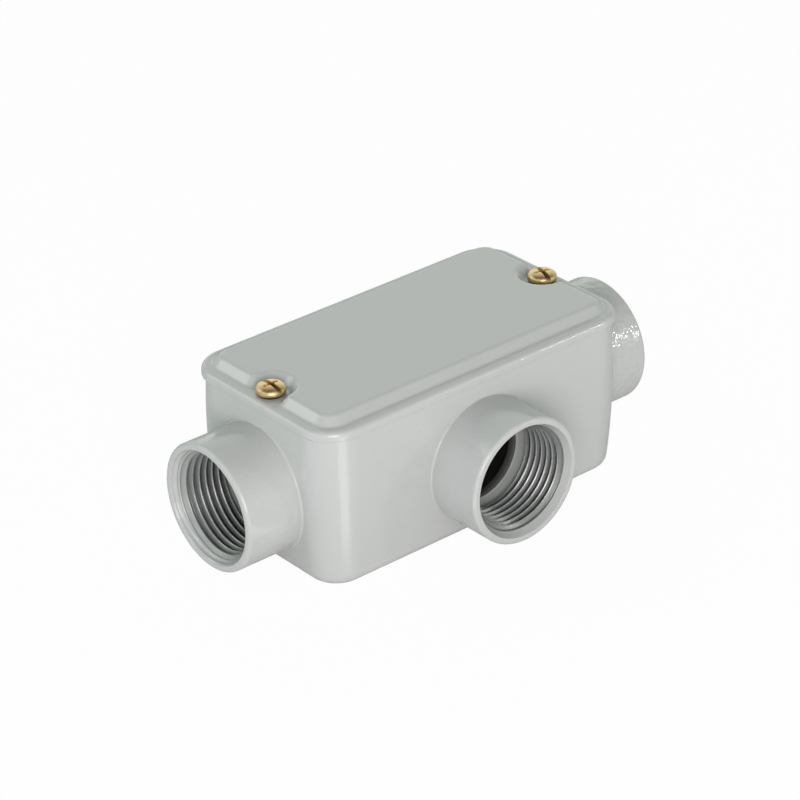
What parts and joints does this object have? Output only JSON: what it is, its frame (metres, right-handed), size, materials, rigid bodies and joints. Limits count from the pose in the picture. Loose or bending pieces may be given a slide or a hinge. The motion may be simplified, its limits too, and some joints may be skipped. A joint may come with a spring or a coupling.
{
  "type": "conduit body",
  "caption": "T-pattern conduit body: a painted cast box with threaded hubs, integral bushings and a raised cover held by brass screws.",
  "frame": {"origin": "centre of the flat back of the box, which is the face that goes against a wall", "axes": "+X along the run towards the right hub, the branch hub points along -Y, +Z out of the back towards the cover"},
  "size_m": [0.1212, 0.0652, 0.0438],
  "materials": {
    "body_paint": "gloss grey enamel over a cast surface",
    "cover_paint": "gloss grey enamel over a cast surface",
    "thread_metal": "cut thread, bare metal",
    "gasket": "matt",
    "screws": "turned, bright"
  },
  "bodies": {
    "body": {"conduit_body": "body_paint", "cover_gasket": "gasket"},
    "cover": {"cover": "cover_paint"},
    "left_screw": {"left_cover_screw": "screws"},
    "right_screw": {"right_cover_screw": "screws"}
  },
  "joints": [
    {"name": "cover_lift", "type": "slide", "parent": "body", "child": "cover", "axis": [0, 0, 1], "range_m": [0, 0.03]},
    {"name": "left_screw_turn", "type": "hinge", "parent": "cover", "child": "left_screw", "pos_m": [-0.04105, 0, 0.0412], "axis": [0, 0, 1], "continuous": true},
    {"name": "right_screw_turn", "type": "hinge", "parent": "cover", "child": "right_screw", "pos_m": [0.04105, 0, 0.0412], "axis": [0, 0, 1], "continuous": true}
  ]
}
